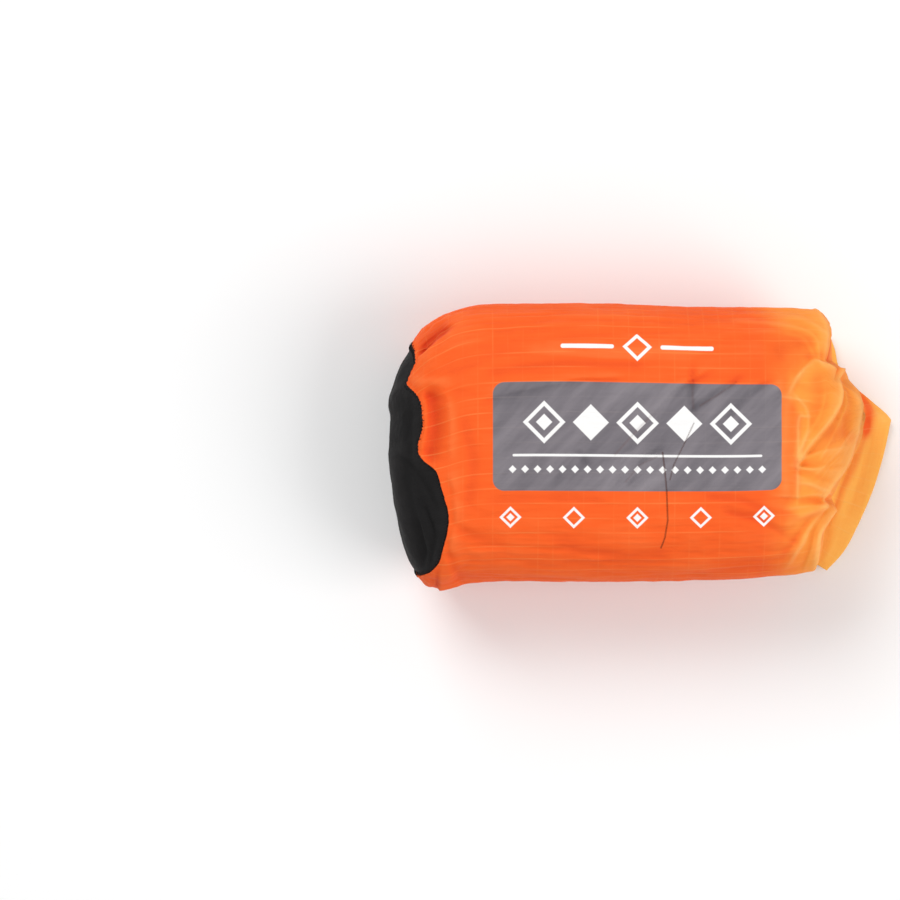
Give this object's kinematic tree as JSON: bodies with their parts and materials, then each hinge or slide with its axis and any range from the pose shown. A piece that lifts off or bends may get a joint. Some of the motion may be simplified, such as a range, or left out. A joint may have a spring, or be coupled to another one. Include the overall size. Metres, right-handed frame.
{
  "type": "packed stuff sack of a folded emergency sleeping bag",
  "caption": "Small stuffed ripstop sack lying on its back, with a dark sewn base panel at one end and a gathered mouth folded under at the other.",
  "frame": {"origin": "on the floor, under the middle of the whole sack's box", "axes": "+X from the sewn base panel to the folded mouth, +Y across the sack, +Z out of its printed face"},
  "size_m": [0.1268, 0.071, 0.0489],
  "materials": {
    "orange_ripstop": "coated ripstop, faint sheen",
    "black_cloth": "matt plain weave",
    "thin_orange_ripstop": "coated ripstop, thin and lit through"
  },
  "bodies": {
    "root": {"sack_body": "orange_ripstop", "base_panel": "black_cloth", "folded_mouth": "thin_orange_ripstop"}
  },
  "joints": []
}
